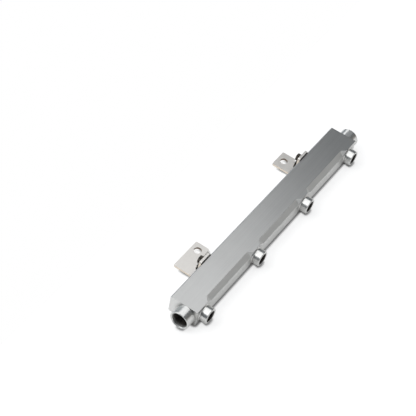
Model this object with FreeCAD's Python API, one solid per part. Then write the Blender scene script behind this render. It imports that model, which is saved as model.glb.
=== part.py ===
import FreeCAD, Part

import math
import os

from FreeCAD import Vector

# Fuel rail for four injectors: one machined aluminium bar, two folded steel brackets and their cap screws.
# Millimetres. +X runs along the bar to its far end, +Y points to the bracket side, +Z is up.
# The origin is the near bracket's bolt hole, at the underside of the foot.

# Bar
bar_depth = 38.0
bar_height = 26.0
near_end_to_cup = 15.0
far_end_to_cup = 17.7
edge_break = 1.2

# Injector cups
cup_count = 4
cup_pitch = 111.76
cup_radius = 10.3
cup_height = 10.2
cup_bore_radius = 7.0
cup_bore_depth = 13.0
cup_lead_in = 0.9
cup_lead_depth = 1.8
cup_rim_break = 0.5
cup_root_flare = 0.8
feed_radius = 3.5

# Reliefs between the cups
relief_width = 6.1
relief_drop = 4.9
pad_margin = 4.2
runout_at_front = 8.6
runout_at_top = 1.9

# Gallery and end ports
gallery_radius = 8.75
gallery_from_front = 14.6
port_radius = 10.2
port_depth = 17.0
port_lead_in = 1.2
boss_rim = 1.4
boss_length = 14.0
boss_rim_break = 0.6

# Side port
side_port_from_end = 105.5
side_port_radius = 4.3
side_port_lead_in = 1.2

# Brackets
sheet = 3.0
bend_radius = 5.0
tab_width = 20.5
tab_above_bar = 2.2
near_end_to_tab = 61.5
far_end_to_tab = 61.5
foot_drop = 7.2
foot_reach = 36.0
leg_width = 19.5
near_foot_length = 48.7
far_foot_length = 27.5
near_hole_from_tip = 11.0
far_hole_from_tip = 13.7
foot_hole_radius = 5.0
foot_corner = 1.5
notch_corner = 2.0
tab_corner = 2.5

# Cap screws
screw_radius = 3.0
screw_length = 12.0
screw_spacing = 14.0
screw_end_break = 0.5
head_radius = 5.0
head_height = 6.0
head_break = 0.6
socket_across_flats = 5.0
socket_depth = 3.0
tap_clearance = 0.05
tap_run_out = 2.5
tab_hole_clearance = 0.3
drill_point_angle = 118.0

# Places that follow from the sizes above
bar_length = near_end_to_cup + (cup_count - 1) * cup_pitch + far_end_to_cup
near_x = near_hole_from_tip - near_foot_length - near_end_to_tab
far_x = near_x + bar_length
back_y = leg_width / 2 - foot_reach
front_y = back_y - bar_depth
bottom_z = foot_drop
top_z = bottom_z + bar_height
middle_z = bottom_z + bar_height / 2
gallery_y = front_y + gallery_from_front
port_mouth_radius = port_radius + port_lead_in
boss_radius = port_mouth_radius + boss_rim
cup_places = [near_x + near_end_to_cup + i * cup_pitch for i in range(cup_count)]
near_tab_x = near_x + near_end_to_tab
far_tab_x = far_x - far_end_to_tab - tab_width
outer_y = back_y + foot_reach
tab_top = top_z + tab_above_bar
screw_heights = {"lower": middle_z - screw_spacing / 2, "upper": middle_z + screw_spacing / 2}

ALONG_X = Vector(1, 0, 0)
ALONG_Y = Vector(0, 1, 0)
ALONG_Z = Vector(0, 0, 1)

# How near two places count as one when an edge is picked
tiny = 0.01


def rod(radius, length, foot, direction):
    return Part.makeCylinder(radius, length, foot, direction)


def cone(radius_1, radius_2, length, foot, direction):
    return Part.makeCone(radius_1, radius_2, length, foot, direction)


def face_of(points):
    return Part.Face(Part.makePolygon(list(points) + [points[0]]))


def block_between(lower, upper):
    # A solid with flat sides between two quadrilaterals whose corners match one to one.
    sides = []
    for i in range(4):
        j = (i + 1) % 4
        sides.append(face_of([lower[i], lower[j], upper[j], upper[i]]))
    shell = Part.Shell([face_of(lower), face_of(upper)] + sides)
    solid = Part.Solid(shell)
    if solid.Volume < 0:
        solid.reverse()
    return solid


def chamfered_bar():
    # The section is broken at both back edges and at the lower front edge. The upper front edge stays sharp.
    section = [
        Vector(near_x, front_y, top_z),
        Vector(near_x, back_y - edge_break, top_z),
        Vector(near_x, back_y, top_z - edge_break),
        Vector(near_x, back_y, bottom_z + edge_break),
        Vector(near_x, back_y - edge_break, bottom_z),
        Vector(near_x, front_y + edge_break, bottom_z),
        Vector(near_x, front_y, bottom_z + edge_break),
    ]
    return face_of(section).extrude(ALONG_X * bar_length)


def end_boss(face_x, outward):
    # A turned boss with a broken rim, standing from one end of the bar.
    direction = ALONG_X * outward
    straight = boss_length - boss_rim_break
    body = rod(boss_radius, straight, Vector(face_x, gallery_y, middle_z), direction)
    rim_foot = Vector(face_x + outward * straight, gallery_y, middle_z)
    rim = cone(boss_radius, boss_radius - boss_rim_break, boss_rim_break, rim_foot, direction)
    return body.fuse(rim)


def end_port(face_x, outward):
    # The tapped part of the end port and its countersink, bored inwards from the boss's mouth.
    mouth = Vector(face_x + outward * boss_length, gallery_y, middle_z)
    inward = ALONG_X * -outward
    thread = rod(port_radius, port_depth, mouth, inward)
    return thread.fuse(cone(port_mouth_radius, port_radius, port_lead_in, mouth, inward))


def cup_outside(x):
    # A cup turned on the front face, flared at its root and broken at its rim. It starts inside the bar.
    sunk = 1.0
    root_radius = cup_radius + cup_root_flare
    section = [
        Vector(0, -sunk, 0),
        Vector(root_radius, -sunk, 0),
        Vector(root_radius, 0, 0),
        Vector(cup_radius, cup_root_flare, 0),
        Vector(cup_radius, cup_height - cup_rim_break, 0),
        Vector(cup_radius - cup_rim_break, cup_height, 0),
        Vector(0, cup_height, 0),
    ]
    turned = face_of(section).revolve(Vector(0, 0, 0), ALONG_Y, 360)
    turned.rotate(Vector(0, 0, 0), ALONG_X, 180)
    turned.translate(Vector(x, front_y, middle_z))
    return turned


def cup_inside(x):
    # The injector's bore with its lead-in, and the feed hole from its floor to the gallery.
    mouth = Vector(x, front_y - cup_height, middle_z)
    bore = rod(cup_bore_radius, cup_bore_depth, mouth, ALONG_Y)
    lead = cone(cup_bore_radius + cup_lead_in, cup_bore_radius, cup_lead_depth, mouth, ALONG_Y)
    feed = rod(feed_radius, cup_height + gallery_from_front, mouth, ALONG_Y)
    return [bore, lead, feed]


def relief(left_cup_x, right_cup_x):
    # What is cut away between two cups: a slope along the upper front edge, ending in slanted facets.
    foot_half = cup_radius + pad_margin
    top_half = foot_half - runout_at_top
    front_half = foot_half - runout_at_front
    slope_y = front_y + relief_width
    slope_z = top_z - relief_drop
    back_left = Vector(left_cup_x + top_half, slope_y, top_z)
    back_right = Vector(right_cup_x - top_half, slope_y, top_z)
    front_right = Vector(right_cup_x - foot_half, front_y, slope_z)
    front_left = Vector(left_cup_x + foot_half, front_y, slope_z)
    corner_left = Vector(left_cup_x + front_half, front_y, top_z)
    corner_right = Vector(right_cup_x - front_half, front_y, top_z)
    # Both end facets go on past the bar's faces, so the cutter is clear of them.
    lift_left = (corner_left - (back_left + front_left) * 0.5) * 2
    lift_right = (corner_right - (back_right + front_right) * 0.5) * 2
    lower = [back_left, back_right, front_right, front_left]
    lifts = [lift_left, lift_right, lift_right, lift_left]
    upper = [corner + lift for corner, lift in zip(lower, lifts)]
    return block_between(lower, upper)


def side_port():
    # The pipe-threaded port in the back face, drilled straight into the gallery.
    mouth = Vector(near_x + side_port_from_end, back_y, middle_z)
    drilled = rod(side_port_radius, back_y - gallery_y, mouth, -ALONG_Y)
    wide = side_port_radius + side_port_lead_in
    return drilled.fuse(cone(wide, side_port_radius, side_port_lead_in, mouth, -ALONG_Y))


def tapped_hole(x, z):
    # A blind tapped hole in the back face for one cap screw, with the drill's point at its end.
    radius = screw_radius + tap_clearance
    depth = screw_length - sheet + tap_run_out
    point = radius / math.tan(math.radians(drill_point_angle / 2))
    straight = rod(radius, depth, Vector(x, back_y, z), -ALONG_Y)
    return straight.fuse(cone(radius, 0, point, Vector(x, back_y - depth, z), -ALONG_Y))


def rail_body():
    body = chamfered_bar()
    for left_x, right_x in zip(cup_places, cup_places[1:]):
        body = body.cut(relief(left_x, right_x))
    added = [cup_outside(x) for x in cup_places]
    added.append(end_boss(near_x, -1))
    added.append(end_boss(far_x, 1))
    body = body.fuse(added)
    removed = [rod(gallery_radius, bar_length, Vector(near_x, gallery_y, middle_z), ALONG_X)]
    removed.append(end_port(near_x, -1))
    removed.append(end_port(far_x, 1))
    removed.append(side_port())
    for x in cup_places:
        removed.extend(cup_inside(x))
    for tab_x in (near_tab_x, far_tab_x):
        for z in screw_heights.values():
            removed.append(tapped_hole(tab_x + tab_width / 2, z))
    return body.cut(removed).removeSplitter()


def rounded(shape, radius, belongs):
    edges = [edge for edge in shape.Edges if belongs(edge)]
    return shape.makeFillet(radius, edges)


def upright_at(x, y):
    # Picks the edge that runs up through the sheet at one corner of the foot.
    def belongs(edge):
        ends = [vertex.Point for vertex in edge.Vertexes]
        return all(math.hypot(end.x - x, end.y - y) < tiny for end in ends)

    return belongs


def across_top(edge):
    # Picks the edges that run through the sheet at the tab's two upper corners.
    ends = [vertex.Point for vertex in edge.Vertexes]
    at_top = all(abs(end.z - tab_top) < tiny for end in ends)
    return at_top and abs(ends[0].x - ends[-1].x) < tiny


def folded_profile(x):
    # The sheet's section at one bend, from the top of the tab down and out to the foot's outer edge.
    outside = bend_radius + sheet
    bend = Vector(x, back_y + outside, outside)
    half = math.sqrt(0.5)
    outer_points = [Vector(x, back_y, tab_top), Vector(x, back_y, outside)]
    inwards = Vector(0, -half, -half)
    outer_arc = Part.Arc(outer_points[1], bend + inwards * outside, bend - ALONG_Z * outside)
    foot_points = [
        Vector(x, back_y + outside, 0),
        Vector(x, outer_y, 0),
        Vector(x, outer_y, sheet),
        Vector(x, back_y + outside, sheet),
    ]
    inner_end = Vector(x, back_y + sheet, outside)
    inner_arc = Part.Arc(foot_points[-1], bend + inwards * bend_radius, inner_end)
    tab_points = [inner_end, Vector(x, back_y + sheet, tab_top), outer_points[0]]
    edges = Part.makePolygon(outer_points).Edges + [outer_arc.toShape()]
    edges += Part.makePolygon(foot_points).Edges + [inner_arc.toShape()] + Part.makePolygon(tab_points).Edges
    return Part.Face(Part.Wire(edges))


def bracket(tab_x, foot_length, hole_from_tip):
    # One folded sheet: the tab, the foot under it and the leg that runs on along the bar.
    tip_x = tab_x + foot_length
    leg_start = tab_x + tab_width
    notch_y = outer_y - leg_width
    folded = folded_profile(tab_x).extrude(ALONG_X * tab_width)
    leg = Part.makeBox(tip_x - leg_start, leg_width, sheet, Vector(leg_start, notch_y, 0))
    shape = folded.fuse(leg).removeSplitter()
    for x, y in ((tab_x, outer_y), (tip_x, outer_y), (tip_x, notch_y)):
        shape = rounded(shape, foot_corner, upright_at(x, y))
    shape = rounded(shape, notch_corner, upright_at(leg_start, notch_y))
    shape = rounded(shape, tab_corner, across_top)
    foot_hole = Vector(tip_x - hole_from_tip, outer_y - leg_width / 2, 0)
    holes = [rod(foot_hole_radius, sheet, foot_hole, ALONG_Z)]
    for z in screw_heights.values():
        seat = Vector(tab_x + tab_width / 2, back_y, z)
        holes.append(rod(screw_radius + tab_hole_clearance, sheet, seat, ALONG_Y))
    return shape.cut(holes)


def cap_screw(x, z):
    # A socket head cap screw pointing into the bar, its head seated on the tab.
    seat = Vector(x, back_y + sheet, z)
    straight = screw_length - screw_end_break
    shank = rod(screw_radius, straight, seat, -ALONG_Y)
    tip_foot = seat - ALONG_Y * straight
    tip = cone(screw_radius, screw_radius - screw_end_break, screw_end_break, tip_foot, -ALONG_Y)
    head = rod(head_radius, head_height - head_break, seat, ALONG_Y)
    rim_foot = seat + ALONG_Y * (head_height - head_break)
    rim = cone(head_radius, head_radius - head_break, head_break, rim_foot, ALONG_Y)
    corner = socket_across_flats / 2 / math.cos(math.pi / 6)
    floor = seat + ALONG_Y * (head_height - socket_depth)
    corners = []
    for i in range(6):
        turn = math.radians(60 * i)
        corners.append(floor + Vector(corner * math.cos(turn), 0, corner * math.sin(turn)))
    socket = face_of(corners).extrude(ALONG_Y * socket_depth)
    return shank.fuse([tip, head, rim]).cut(socket).removeSplitter()


nodes = {
    "rail_body": rail_body(),
    "near_bracket": bracket(near_tab_x, near_foot_length, near_hole_from_tip),
    "far_bracket": bracket(far_tab_x, far_foot_length, far_hole_from_tip),
}
for side, tab_x in (("near", near_tab_x), ("far", far_tab_x)):
    for level, z in screw_heights.items():
        nodes[f"{side}_{level}_screw"] = cap_screw(tab_x + tab_width / 2, z)

os.makedirs("parts", exist_ok=True)
for name, shape in nodes.items():
    shape.exportStep(f"parts/{name}.step")
    print(name, len(shape.Solids), shape.isValid(), round(shape.Volume, 1))
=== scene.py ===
import math

import bmesh
import bpy
from mathutils import Matrix, Vector


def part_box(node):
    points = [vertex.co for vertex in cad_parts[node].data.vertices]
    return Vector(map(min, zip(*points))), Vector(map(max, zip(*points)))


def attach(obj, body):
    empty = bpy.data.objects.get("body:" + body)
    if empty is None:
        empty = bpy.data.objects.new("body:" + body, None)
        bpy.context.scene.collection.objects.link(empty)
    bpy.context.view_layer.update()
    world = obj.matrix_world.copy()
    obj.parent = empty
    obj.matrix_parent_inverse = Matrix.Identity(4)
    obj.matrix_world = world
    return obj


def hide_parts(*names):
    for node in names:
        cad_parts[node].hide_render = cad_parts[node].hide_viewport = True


# Fuel rail on a white table: a milled aluminium bar, plated brackets and knurled cap screws. Lengths are
# in metres, except where a comment says otherwise.
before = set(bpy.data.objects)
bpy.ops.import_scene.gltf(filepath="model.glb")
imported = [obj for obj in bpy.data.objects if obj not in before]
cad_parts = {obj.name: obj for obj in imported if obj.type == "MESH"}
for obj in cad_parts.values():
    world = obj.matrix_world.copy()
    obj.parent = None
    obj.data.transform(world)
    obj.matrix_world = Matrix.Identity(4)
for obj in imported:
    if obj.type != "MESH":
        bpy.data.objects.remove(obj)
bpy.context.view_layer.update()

# The rail's own sizes that the finish and the small pieces need
mm = 0.001
bar_low, bar_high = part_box("rail_body")
boss_length = 14.0 * mm
cup_height = 10.2 * mm
cup_from_end = 15.0 * mm
cup_pitch = 111.76 * mm
gallery_from_front = 14.6 * mm
edge_break = 1.2 * mm
near_x = bar_low.x + boss_length
far_x = bar_high.x - boss_length
front_y = bar_low.y + cup_height
back_y = bar_high.y
middle_z = (bar_low.z + bar_high.z) / 2
gallery_y = front_y + gallery_from_front
port_radius = 10.2 * mm
port_lead_in = 1.2 * mm
cup_bore_radius = 7.0 * mm
cup_bore_depth = 13.0 * mm
cup_lead_shown = 0.3 * mm
port_mouth_depth = 6.0 * mm
face_slack = 0.02 * mm
bore_slack = 0.5 * mm
cup_mouth_slack = 1.1 * mm

# The share that the finer layers have in every noise
fine_share = 0.6

# Holes of the feet: the near one is at the origin
foot_hole_radius = 5.0 * mm
far_hole_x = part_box("far_bracket")[1].x - 13.7 * mm

# Cap screws, as the standard gives them for a 6 mm thread
screw_radius = 3.0 * mm
screw_length = 12.0 * mm
screw_end_break = 0.5 * mm
head_radius = 5.0 * mm
head_height = 6.0 * mm
head_break = 0.6 * mm
socket_across_flats = 5.0 * mm
socket_depth = 3.0 * mm
socket_lead_in = 0.35 * mm
knurl_ridges = 48
knurl_depth = 0.16 * mm

# Port thread, 14 turns to the inch
thread_pitch = 25.4 / 14 * mm
thread_height = 0.7 * mm
thread_crest = 0.25 * mm
thread_sunk = 0.05 * mm
thread_turns = 6
steps_a_turn = 60

# The rail rests on the bends of its feet and on the bar's lower front edge, so the table is tilted to it.
bend_to_back = 8.0 * mm
bend_y = back_y + bend_to_back
edge_y = front_y + edge_break
tilt = math.atan2(bar_low.z, bend_y - edge_y)
table = Matrix.Translation((0, bend_y, 0)) @ Matrix.Rotation(-tilt, 4, "X")
table_low = (-0.5, -0.6)
table_high = (0.7, 0.12)

# Camera, about a point on the table. Its angles are in degrees, its lens and sensor in millimetres.
camera_aim = Vector((74.8, 53.3, 0)) * mm
camera_distance = 1568.1 * mm
camera_height_angle = 43.3
camera_heading = 214.21
camera_lens = 106.4
camera_sensor_width = 36.0


def colour(code):
    # Linear red, green, blue and alpha for an sRGB hex value.
    parts = [int(code[i:i + 2], 16) / 255 for i in (1, 3, 5)]
    linear = [part / 12.92 if part <= 0.04045 else ((part + 0.055) / 1.055) ** 2.4 for part in parts]
    return (*linear, 1.0)


def add(tree, kind, inputs=(), **settings):
    # Adds one node and sets it. Its inputs are filled in order, or by name, with values, nodes or
    # outputs.
    made = tree.nodes.new("ShaderNode" + kind)
    for name, value in settings.items():
        setattr(made, name, value)
    if isinstance(inputs, dict):
        filled = [(made.inputs[name], value) for name, value in inputs.items()]
    else:
        filled = zip([socket for socket in made.inputs if socket.enabled], inputs)
    for socket, value in filled:
        if isinstance(value, bpy.types.Node):
            value = next(output for output in value.outputs if output.enabled)
        if isinstance(value, bpy.types.NodeSocket):
            tree.links.new(value, socket)
        else:
            socket.default_value = value
    return made


def new_material(name):
    material = bpy.data.materials.new(name)
    material.use_nodes = True
    tree = material.node_tree
    shader = tree.nodes["Principled BSDF"]
    return material, tree, shader


def anodised_aluminium():
    # Clear anodised aluminium: the bar is milled lengthwise, its bosses and cups are turned. The matt
    # etch under the clear layer gives a soft sheen, and the tool's lines draw the highlights out across
    # them. The real lines are 0.1 to 0.2 mm apart, too fine to show, so they are drawn 0.5 and 0.8 mm
    # wide.
    material, tree, shader = new_material("clear_anodised_aluminium_milled_and_turned")
    # Widths of the patterns, in millimetres
    milled_width = 0.8
    milled_length = 70.0
    turned_width = 0.5
    cloud_width = 45.0
    # How squarely a face looks one way, as the cosine of the angle
    end_cosine = 0.8
    front_cosine = 0.9
    slope_cosine = 0.3
    # How dark the painted shade in the ports' mouths and the inside corners gets
    mouth_darkness = 0.65
    corner_reach = 9 * mm
    closed_sky = 0.2
    clear_sky = 0.8
    # Tone and roughness
    cloud_share = 0.4
    milled_roughness = 0.30
    turned_roughness = 0.26
    dull_roughness = 0.5
    roughness_spread = 0.08
    edge_round = 0.7 * mm
    place = add(tree, "TexCoord").outputs["Object"]
    # Places are in millimetres from here on.
    scaled = add(tree, "VectorMath", [place, 1 / mm], operation="SCALE")
    split = add(tree, "SeparateXYZ", [scaled])
    x = split.outputs["X"]
    y = split.outputs["Y"]
    z = split.outputs["Z"]
    from_middle = add(tree, "Math", [z, middle_z / mm], operation="SUBTRACT")
    from_gallery = add(tree, "Math", [y, gallery_y / mm], operation="SUBTRACT")
    # How far each point lies along the bar from the nearest cup's axis
    along = add(tree, "Math", [x, (near_x + cup_from_end - cup_pitch / 2) / mm], operation="SUBTRACT")
    wrapped = add(tree, "Math", [along, cup_pitch / mm], operation="FLOORED_MODULO")
    from_cup = add(tree, "Math", [wrapped, cup_pitch / 2 / mm], operation="SUBTRACT")
    on_cup = add(tree, "Math", [y, (front_y - face_slack) / mm], operation="LESS_THAN")
    before = add(tree, "Math", [x, (near_x - face_slack) / mm], operation="LESS_THAN")
    beyond = add(tree, "Math", [x, (far_x + face_slack) / mm], operation="GREATER_THAN")
    on_boss = add(tree, "Math", [before, beyond], operation="MAXIMUM")
    is_turned = add(tree, "Math", [on_cup, on_boss], operation="MAXIMUM")
    # Milled lines run along the bar.
    line_size = (milled_length, milled_width, milled_width)
    lines = add(tree, "VectorMath", [scaled, line_size], operation="DIVIDE")
    milled = add(tree, "TexNoise", [lines, 1.0, 2.0, fine_share])
    # Turned rings run round a boss or a cup, on its side and on its rim.
    cup_offset = add(tree, "CombineXYZ", [from_cup, from_middle])
    cup_radius = add(tree, "VectorMath", [cup_offset], operation="LENGTH")
    boss_offset = add(tree, "CombineXYZ", [from_gallery, from_middle])
    boss_radius = add(tree, "VectorMath", [boss_offset], operation="LENGTH")
    cup_ring = add(tree, "Math", [y, cup_radius], operation="ADD")
    boss_ring = add(tree, "Math", [x, boss_radius], operation="ADD")
    ring = add(tree, "Mix", [on_boss, cup_ring, boss_ring])
    ring_count = add(tree, "Math", [ring, turned_width], operation="DIVIDE")
    ring_place = add(tree, "CombineXYZ", [ring_count])
    turned = add(tree, "TexNoise", [ring_place, 1.0, 2.0, fine_share])
    tool_marks = add(tree, "Mix", [is_turned, milled, turned])
    # The way the tool's lines run at each point: along the bar, across its ends, and round the turned
    # parts
    normal = add(tree, "NewGeometry").outputs["Normal"]
    facing = add(tree, "SeparateXYZ", [normal])
    end_facing = add(tree, "Math", [facing.outputs["X"]], operation="ABSOLUTE")
    on_end = add(tree, "Math", [end_facing, end_cosine], operation="GREATER_THAN")
    back_from_cup = add(tree, "Math", [from_cup, -1.0], operation="MULTIPLY")
    round_cup = add(tree, "CombineXYZ", [from_middle, 0.0, back_from_cup])
    back_from_gallery = add(tree, "Math", [from_gallery, -1.0], operation="MULTIPLY")
    round_boss = add(tree, "CombineXYZ", [0.0, from_middle, back_from_gallery])
    way = add(tree, "Mix", [on_end, (1.0, 0.0, 0.0), (0.0, 1.0, 0.0)], data_type="VECTOR")
    way = add(tree, "Mix", [on_cup, way, round_cup], data_type="VECTOR")
    way = add(tree, "Mix", [on_boss, way, round_boss], data_type="VECTOR")
    across = add(tree, "VectorMath", [normal, way], operation="CROSS_PRODUCT")
    # The reliefs are cut with a small cutter across the bar, which leaves them duller than the rest.
    looks_forward = add(tree, "Math", [facing.outputs["Y"], -slope_cosine], operation="LESS_THAN")
    looks_up = add(tree, "Math", [facing.outputs["Z"], slope_cosine], operation="GREATER_THAN")
    on_slope = add(tree, "Math", [looks_forward, looks_up], operation="MULTIPLY")
    is_milled = add(tree, "Math", [1.0, is_turned], operation="SUBTRACT")
    on_relief = add(tree, "Math", [on_slope, is_milled], operation="MULTIPLY")
    # Bores are drilled and tapped, so they are rough. Their walls are also painted dark, as painted
    # shade that fades a little towards a port's mouth.
    half_length = (bar_high.x - bar_low.x) / 2
    past_centre = add(tree, "Math", [x, (bar_low.x + half_length) / mm], operation="SUBTRACT")
    from_centre = add(tree, "Math", [past_centre], operation="ABSOLUTE")
    past_lead_in = add(tree, "Math", [from_centre, (half_length - port_lead_in) / mm], operation="LESS_THAN")
    near_gallery = add(tree, "Math", [boss_radius, (port_radius + bore_slack) / mm], operation="LESS_THAN")
    in_gallery = add(tree, "Math", [past_lead_in, near_gallery], operation="MULTIPLY")
    mouth_shade = add(tree, "MapRange", {
        "Value": from_centre,
        "From Min": (half_length - port_mouth_depth) / mm,
        "From Max": (half_length - port_lead_in) / mm,
        "To Min": 1.0,
        "To Max": mouth_darkness,
    }, interpolation_type="SMOOTHSTEP")
    gallery_shade = add(tree, "Math", [in_gallery, mouth_shade], operation="MULTIPLY")
    past_cup_lead = add(tree, "Math", [y, (bar_low.y + cup_lead_shown) / mm], operation="GREATER_THAN")
    cup_floor_y = bar_low.y + cup_bore_depth
    before_floor = add(tree, "Math", [y, (cup_floor_y + bore_slack) / mm], operation="LESS_THAN")
    cup_mouth = (cup_bore_radius + cup_mouth_slack) / mm
    near_cup_axis = add(tree, "Math", [cup_radius, cup_mouth], operation="LESS_THAN")
    cup_depth = add(tree, "Math", [past_cup_lead, before_floor], operation="MULTIPLY")
    in_cup = add(tree, "Math", [cup_depth, near_cup_axis], operation="MULTIPLY")
    in_bore = add(tree, "Math", [in_gallery, in_cup], operation="MAXIMUM")
    bore_shade = add(tree, "Math", [gallery_shade, in_cup], operation="MAXIMUM")
    # The tone follows the tool's lines and wanders slowly, as the clear layer's thickness does. The
    # turned parts and the reliefs are paler than the bar's other sides. The front and the ends are
    # painted paler too, as painted light.
    cloud_place = add(tree, "VectorMath", [scaled, 1 / cloud_width], operation="SCALE")
    cloud = add(tree, "TexNoise", [cloud_place, 1.0, 3.0, fine_share])
    tone = add(tree, "Mix", [cloud_share, tool_marks, cloud])
    milled_base = add(tree, "Mix", [tone, colour("#B7B7B6"), colour("#D5D5D4")], data_type="RGBA")
    turned_base = add(tree, "Mix", [tone, colour("#DFDFDD"), colour("#F0F0EE")], data_type="RGBA")
    # The front and the ends get the paler colour as painted light.
    on_front = add(tree, "Math", [facing.outputs["Y"], -front_cosine], operation="LESS_THAN")
    painted_light_faces = add(tree, "Math", [on_front, on_end], operation="MAXIMUM")
    is_shaped = add(tree, "Math", [is_turned, on_relief], operation="MAXIMUM")
    pale_finish_and_painted_light = add(tree, "Math", [is_shaped, painted_light_faces], operation="MAXIMUM")
    base = add(tree, "Mix", [pale_finish_and_painted_light, milled_base, turned_base], data_type="RGBA")
    # Inside corners and undersides are painted darker, as painted shade, because the pale table would
    # light them too much.
    open_sky = add(tree, "AmbientOcclusion", {"Distance": corner_reach}, samples=8).outputs["AO"]
    corner_shade = add(tree, "MapRange", {
        "Value": open_sky,
        "From Min": closed_sky,
        "From Max": clear_sky,
        "To Min": 1.0,
        "To Max": 0.0,
    })
    # Painted shade: the bores and the inside corners darken the colour here.
    dark = add(tree, "Math", [bore_shade, corner_shade], operation="MAXIMUM")
    base = add(tree, "Mix", [dark, base, colour("#4A4744")], data_type="RGBA")
    roughness = add(tree, "Mix", [is_turned, milled_roughness, turned_roughness])
    roughness = add(tree, "Mix", [on_relief, roughness, dull_roughness])
    roughness = add(tree, "Mix", [in_bore, roughness, dull_roughness])
    roughness = add(tree, "Math", [tool_marks, roughness_spread, roughness], operation="MULTIPLY_ADD")
    rounded = add(tree, "Bevel", [edge_round], samples=4)
    bump = add(tree, "Bump", {
        "Strength": 0.25,
        "Distance": 0.02 * mm,
        "Height": tool_marks,
        "Normal": rounded,
    })
    shader.inputs["Metallic"].default_value = 1.0
    shader.inputs["Anisotropic"].default_value = 0.35
    tree.links.new(base.outputs[2], shader.inputs["Base Color"])
    tree.links.new(roughness.outputs["Value"], shader.inputs["Roughness"])
    tree.links.new(across.outputs["Vector"], shader.inputs["Tangent"])
    tree.links.new(bump.outputs["Normal"], shader.inputs["Normal"])
    return material


def plated_sheet_steel():
    # Cold-rolled sheet steel, punched and folded, then plated: a warm grey with the rolling grain under
    # the plating, duller in cloudy patches. Its cut edges that face along the bar are drawn cream and
    # brighter: the punch's burnish, and a painted highlight. The real grain is about 0.1 mm wide, too
    # fine to show, so it is drawn 0.5 mm wide.
    material, tree, shader = new_material("plated_sheet_steel_punched_and_folded")
    grain_size = (9.0 * mm, 0.5 * mm, 0.5 * mm)
    patch_width = 7.0 * mm
    patch_share = 0.5
    cut_cosine = 0.97
    hole_slack = 0.05 * mm
    least_roughness = 0.38
    roughness_spread = 0.16
    place = add(tree, "TexCoord").outputs["Object"]
    lines_place = add(tree, "VectorMath", [place, grain_size], operation="DIVIDE")
    lines = add(tree, "TexNoise", [lines_place, 1.0, 2.0, fine_share])
    patch_place = add(tree, "VectorMath", [place, 1 / patch_width], operation="SCALE")
    patches = add(tree, "TexNoise", [patch_place, 1.0, 4.0, fine_share])
    tone = add(tree, "Mix", [patch_share, lines, patches])
    base = add(tree, "Mix", [tone, colour("#E0DCD7"), colour("#F2EFEB")], data_type="RGBA")
    normal = add(tree, "NewGeometry").outputs["Normal"]
    facing = add(tree, "SeparateXYZ", [normal])
    # Cut edges that face along the bar are drawn cream: the punch's burnish, and a painted highlight.
    end_facing = add(tree, "Math", [facing.outputs["X"]], operation="ABSOLUTE")
    burnish_and_painted_highlight = add(tree, "Math", [end_facing, cut_cosine], operation="GREATER_THAN")
    base = add(tree, "Mix", [burnish_and_painted_highlight, base, colour("#F1E6D8")], data_type="RGBA")
    # The punch leaves the walls of the feet's holes torn; they are painted dark, as painted shade.
    split = add(tree, "SeparateXYZ", [place])
    near_offset = add(tree, "CombineXYZ", [split.outputs["X"], split.outputs["Y"]])
    from_near_hole = add(tree, "VectorMath", [near_offset], operation="LENGTH")
    far_offset = add(tree, "VectorMath", [near_offset, (far_hole_x, 0.0, 0.0)], operation="SUBTRACT")
    from_far_hole = add(tree, "VectorMath", [far_offset], operation="LENGTH")
    from_hole = add(tree, "Math", [from_near_hole, from_far_hole], operation="MINIMUM")
    painted_hole_shade = add(tree, "Math", [from_hole, foot_hole_radius + hole_slack], operation="LESS_THAN")
    base = add(tree, "Mix", [painted_hole_shade, base, colour("#8C7F73")], data_type="RGBA")
    roughness = add(tree, "Math", [patches, roughness_spread, least_roughness], operation="MULTIPLY_ADD")
    bump = add(tree, "Bump", {"Strength": 0.3, "Distance": 0.03 * mm, "Height": tone})
    shader.inputs["Metallic"].default_value = 1.0
    tree.links.new(base.outputs[2], shader.inputs["Base Color"])
    tree.links.new(roughness.outputs["Value"], shader.inputs["Roughness"])
    tree.links.new(bump.outputs["Normal"], shader.inputs["Normal"])
    return material


def plated_screw_steel():
    # Forged alloy steel, bright zinc plated: nearly a mirror, with soft darker specks left by the
    # plating bath. The knurled side of the head is painted dark, as painted shade.
    material, tree, shader = new_material("bright_zinc_plated_steel_forged_and_knurled")
    speck_width = 1.2 * mm
    least_roughness = 0.14
    roughness_spread = 0.12
    place = add(tree, "TexCoord").outputs["Object"]
    speck_place = add(tree, "VectorMath", [place, 1 / speck_width], operation="SCALE")
    specks = add(tree, "TexNoise", [speck_place, 1.0, 3.0, fine_share])
    base = add(tree, "Mix", [specks, colour("#D2CEC8"), colour("#ECE8E2")], data_type="RGBA")
    on_knurl = add(tree, "Attribute", attribute_name="knurl").outputs["Fac"]
    # Painted shade: the knurled side of the head is darkened.
    base = add(tree, "Mix", [on_knurl, base, colour("#4C4843")], data_type="RGBA")
    roughness = add(tree, "Math", [specks, roughness_spread, least_roughness], operation="MULTIPLY_ADD")
    shader.inputs["Metallic"].default_value = 1.0
    tree.links.new(base.outputs[2], shader.inputs["Base Color"])
    tree.links.new(roughness.outputs["Value"], shader.inputs["Roughness"])
    return material


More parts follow.
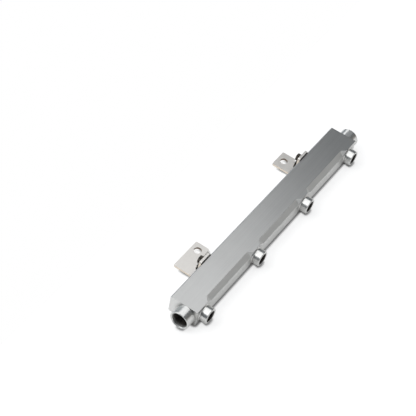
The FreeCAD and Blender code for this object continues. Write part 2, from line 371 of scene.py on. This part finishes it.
def table_white():
    # Matt white paint. The camera and the metal see a good deal more light in it than it gives back, so
    # it reads as plain white while the rail's shadow stays. For the camera, that light fades where
    # something stands close.
    material, tree, shader = new_material("matt_white_painted_table")
    view_lift = 0.73
    metal_lift = 0.28
    contact_reach = 3.5 * mm
    contact_depth = 3.0
    path = add(tree, "LightPath").outputs
    in_view = add(tree, "Math", [path["Is Camera Ray"], path["Is Transmission Ray"]], operation="MAXIMUM")
    paint = add(tree, "Mix", [in_view, colour("#D4D4D4"), colour("#ACACAC")], data_type="RGBA")
    in_metal = add(tree, "Math", [path["Is Glossy Ray"], metal_lift], operation="MULTIPLY")
    open_sky = add(tree, "AmbientOcclusion", {"Distance": contact_reach}, samples=8).outputs["AO"]
    contact = add(tree, "Math", [open_sky, contact_depth], operation="POWER")
    seen = add(tree, "Math", [in_view, view_lift], operation="MULTIPLY")
    to_camera = add(tree, "Math", [seen, contact], operation="MULTIPLY")
    lift = add(tree, "Math", [to_camera, in_metal], operation="MAXIMUM")
    shader.inputs["Roughness"].default_value = 0.9
    shader.inputs["Specular IOR Level"].default_value = 0.0
    shader.inputs["Emission Color"].default_value = colour("#FFFFFF")
    tree.links.new(paint.outputs[2], shader.inputs["Base Color"])
    tree.links.new(lift.outputs["Value"], shader.inputs["Emission Strength"])
    return material


def studio_world():
    # Grey studio walls, a pale floor that the metal shows beyond the table, and plain white for the
    # camera.
    wall_glow = 0.15
    back_wall_glow = 0.3
    front_wall_glow = 1.1
    floor_glow = 0.04
    floor_in_metal = 0.9
    horizon = -0.15
    # The way to the front wall, along X and along Y
    front_wall_x = 0.6
    front_wall_y = -0.8
    world = bpy.data.worlds.new("studio")
    world.use_nodes = True
    bpy.context.scene.world = world
    tree = world.node_tree
    background = tree.nodes["Background"]
    direction = add(tree, "TexCoord").outputs["Generated"]
    parts = add(tree, "SeparateXYZ", [direction]).outputs
    behind = add(tree, "MapRange", {
        "Value": parts["Y"],
        "From Min": 0.2,
        "From Max": 0.8,
        "To Min": wall_glow,
        "To Max": back_wall_glow,
    }, interpolation_type="SMOOTHSTEP")
    forwards = add(tree, "Math", [parts["Y"], front_wall_y], operation="MULTIPLY")
    sideways = add(tree, "Math", [parts["X"], front_wall_x, forwards], operation="MULTIPLY_ADD")
    in_front = add(tree, "MapRange", {
        "Value": sideways,
        "From Min": 0.6,
        "From Max": 0.9,
        "To Min": 0.0,
        "To Max": 1.0,
    }, interpolation_type="SMOOTHSTEP")
    low_down = add(tree, "MapRange", {
        "Value": parts["Z"],
        "From Min": 0.05,
        "From Max": 0.25,
        "To Min": front_wall_glow,
        "To Max": 0.0,
    }, interpolation_type="SMOOTHSTEP")
    walls = add(tree, "Math", [in_front, low_down, behind], operation="MULTIPLY_ADD")
    path = add(tree, "LightPath").outputs
    floor = add(tree, "Mix", [path["Is Glossy Ray"], floor_glow, floor_in_metal])
    above = add(tree, "Math", [parts["Z"], horizon], operation="GREATER_THAN")
    glow = add(tree, "Mix", [above, floor, walls])
    in_view = add(tree, "Math", [path["Is Camera Ray"], path["Is Transmission Ray"]], operation="MAXIMUM")
    strength = add(tree, "Mix", [in_view, glow, 1.0])
    tint = add(tree, "Mix", [in_front, colour("#D8E2EA"), colour("#FFFCF8")], data_type="RGBA")
    tint = add(tree, "Mix", [in_view, tint, colour("#FFFFFF")], data_type="RGBA")
    tree.links.new(strength.outputs[0], background.inputs["Strength"])
    tree.links.new(tint.outputs[2], background.inputs["Color"])


def softbox(name, place, aim, width, depth, glow):
    # A rectangular lamp over the table that shines with an even glow, where 1 is white, towards a point.
    data = bpy.data.lights.new(name, "AREA")
    data.shape = "RECTANGLE"
    data.size = width
    data.size_y = depth
    data.energy = math.pi * width * depth * glow
    lamp = bpy.data.objects.new(name, data)
    lamp.visible_camera = False
    towards = (Vector(aim) - Vector(place)).to_track_quat("-Z", "Y").to_matrix().to_4x4()
    lamp.matrix_world = table @ Matrix.Translation(place) @ towards
    bpy.context.scene.collection.objects.link(lamp)


def carry_on(mesh, face, height, radius_at):
    # Extrudes a face and sets its new rim to a height and, turn by turn, to a radius. The face left
    # behind is taken away, except the first one, which closes the shape.
    is_inside = all(len(edge.link_faces) > 1 for edge in face.edges)
    made = bmesh.ops.extrude_face_region(mesh, geom=[face])["geom"]
    end = [item for item in made if isinstance(item, bmesh.types.BMFace)][0]
    if is_inside and face.is_valid:
        bmesh.ops.delete(mesh, geom=[face], context="FACES_ONLY")
    for vert in end.verts:
        turn = math.atan2(vert.co.y, vert.co.x)
        radius = radius_at(turn)
        vert.co = Vector((radius * math.cos(turn), radius * math.sin(turn), height))
    return end


def on_knurl(turn):
    # Every second corner of the head's rim lies in a valley of the knurl.
    in_valley = round(turn * knurl_ridges / math.pi) % 2
    return head_radius - knurl_depth * in_valley


def on_hexagon(turn):
    # Distance from the middle to the socket's flat, at this turn.
    sector = math.radians(60)
    return socket_across_flats / 2 / math.cos((turn % sector) - sector / 2)


def cap_screw(name, material):
    # A plain shank and a knurled head with a broken rim and a hexagon socket. It is built upwards from
    # the tip of the shank, and then laid into the tab with its axis through the middle of the node that
    # it replaces.
    low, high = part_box(name)
    mesh = bmesh.new()
    tip = Matrix.Translation((0, 0, -screw_length))
    tip_radius = screw_radius - screw_end_break
    bmesh.ops.create_circle(mesh, cap_ends=True, segments=2 * knurl_ridges, radius=tip_radius, matrix=tip)
    mesh.faces.ensure_lookup_table()
    end = mesh.faces[0]
    end = carry_on(mesh, end, screw_end_break - screw_length, lambda turn: screw_radius)
    end = carry_on(mesh, end, 0, lambda turn: screw_radius)
    end = carry_on(mesh, end, 0, on_knurl)
    end = carry_on(mesh, end, head_height - head_break, on_knurl)
    end = carry_on(mesh, end, head_height, lambda turn: head_radius - head_break)
    end = carry_on(mesh, end, head_height, lambda turn: on_hexagon(turn) + socket_lead_in)
    end = carry_on(mesh, end, head_height - socket_lead_in, on_hexagon)
    carry_on(mesh, end, head_height - socket_depth, on_hexagon)
    bmesh.ops.recalc_face_normals(mesh, faces=mesh.faces)
    knurled = mesh.faces.layers.float.new("knurl")
    for face in mesh.faces:
        face[knurled] = float(all(vert.co.xy.length > head_radius - 2 * knurl_depth for vert in face.verts))
    bmesh.ops.rotate(mesh, matrix=Matrix.Rotation(-math.pi / 2, 3, "X"), verts=mesh.verts)
    middle = (low + high) / 2
    seat = Vector((middle.x, high.y - head_height, middle.z))
    bmesh.ops.translate(mesh, vec=seat, verts=mesh.verts)
    piece = finished(mesh, name + "_knurled", material)
    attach(piece, "root")
    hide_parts(name)
    return piece


def port_thread(name, mouth_x, inward, material):
    # The thread inside an end port: one ridge wound along the bore, sunk a little into its wall.
    mesh = bmesh.new()
    wall = port_radius + thread_sunk
    crest = port_radius - thread_height
    start = mouth_x + inward * (port_lead_in + thread_pitch / 2)
    section = [
        (-thread_pitch / 2, wall),
        (-thread_crest / 2, crest),
        (thread_crest / 2, crest),
        (thread_pitch / 2, wall),
    ]
    corners = [mesh.verts.new((start + x, gallery_y, middle_z + radius)) for x, radius in section]
    ridge = mesh.faces.new(corners)
    bmesh.ops.spin(
        mesh,
        geom=[ridge],
        cent=(0, gallery_y, middle_z),
        axis=(1, 0, 0),
        angle=math.tau * thread_turns,
        steps=thread_turns * steps_a_turn,
        dvec=(inward * thread_pitch / steps_a_turn, 0, 0),
    )
    bmesh.ops.recalc_face_normals(mesh, faces=mesh.faces)
    piece = finished(mesh, name, material)
    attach(piece, "root")
    return piece


def finished(mesh, name, material):
    # Turns a bmesh into an object in the scene, at the origin.
    data = bpy.data.meshes.new(name)
    mesh.to_mesh(data)
    mesh.free()
    data.materials.append(material)
    piece = bpy.data.objects.new(name, data)
    bpy.context.scene.collection.objects.link(piece)
    return piece


def dress(node, material):
    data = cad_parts[node].data
    data.materials.clear()
    data.materials.append(material)


def lay_table():
    # A square with sides of 1, stretched to the table's size and laid where the rail leans on it
    mesh = bmesh.new()
    bmesh.ops.create_grid(mesh, x_segments=1, y_segments=1, size=0.5)
    size = Vector(table_high) - Vector(table_low)
    middle = (Vector(table_high) + Vector(table_low)) / 2
    spread = Matrix.Diagonal((size.x, size.y, 1, 1))
    bmesh.ops.transform(mesh, matrix=table @ Matrix.Translation(middle.to_3d()) @ spread, verts=mesh.verts)
    finished(mesh, "table", table_white())


def set_camera():
    heading = math.radians(camera_heading)
    height_angle = math.radians(camera_height_angle)
    flat = math.cos(height_angle)
    away = Vector((flat * math.cos(heading), flat * math.sin(heading), math.sin(height_angle)))
    place = camera_aim + camera_distance * away
    # The camera looks back along its own +Z, and its +X is level with the table.
    level = Vector((0, 0, 1)).cross(away).normalized()
    turned = Matrix((level, away.cross(level), away)).transposed().to_4x4()
    data = bpy.data.cameras.new("camera")
    data.lens = camera_lens
    data.sensor_width = camera_sensor_width
    camera = bpy.data.objects.new("camera", data)
    camera.matrix_world = table @ Matrix.Translation(place) @ turned
    bpy.context.scene.collection.objects.link(camera)
    bpy.context.scene.camera = camera


aluminium = anodised_aluminium()
sheet_steel = plated_sheet_steel()
screw_steel = plated_screw_steel()
dress("rail_body", aluminium)
dress("near_bracket", sheet_steel)
dress("far_bracket", sheet_steel)
for side in ("near", "far"):
    for level in ("lower", "upper"):
        cap_screw(f"{side}_{level}_screw", screw_steel)
port_thread("near_port_thread", bar_low.x, 1, aluminium)
port_thread("far_port_thread", bar_high.x, -1, aluminium)
lay_table()
studio_world()
softbox(
    "overhead_softbox",
    place=(-0.135, 0.0, 1.5),
    aim=(-0.135, 0.0, 0.0),
    width=2.73,
    depth=1.9,
    glow=1.1,
)
softbox(
    "back_softbox",
    place=(-0.6, 1.5, 1.5),
    aim=(0.0, 0.0, 0.0),
    width=2.8,
    depth=2.1,
    glow=1.2,
)
softbox(
    "side_softbox",
    place=(1.0, 0.62, 0.6),
    aim=(0.27, -0.05, 0.0),
    width=0.5,
    depth=0.35,
    glow=1.2,
)
set_camera()
bpy.context.scene.view_settings.view_transform = "Standard"
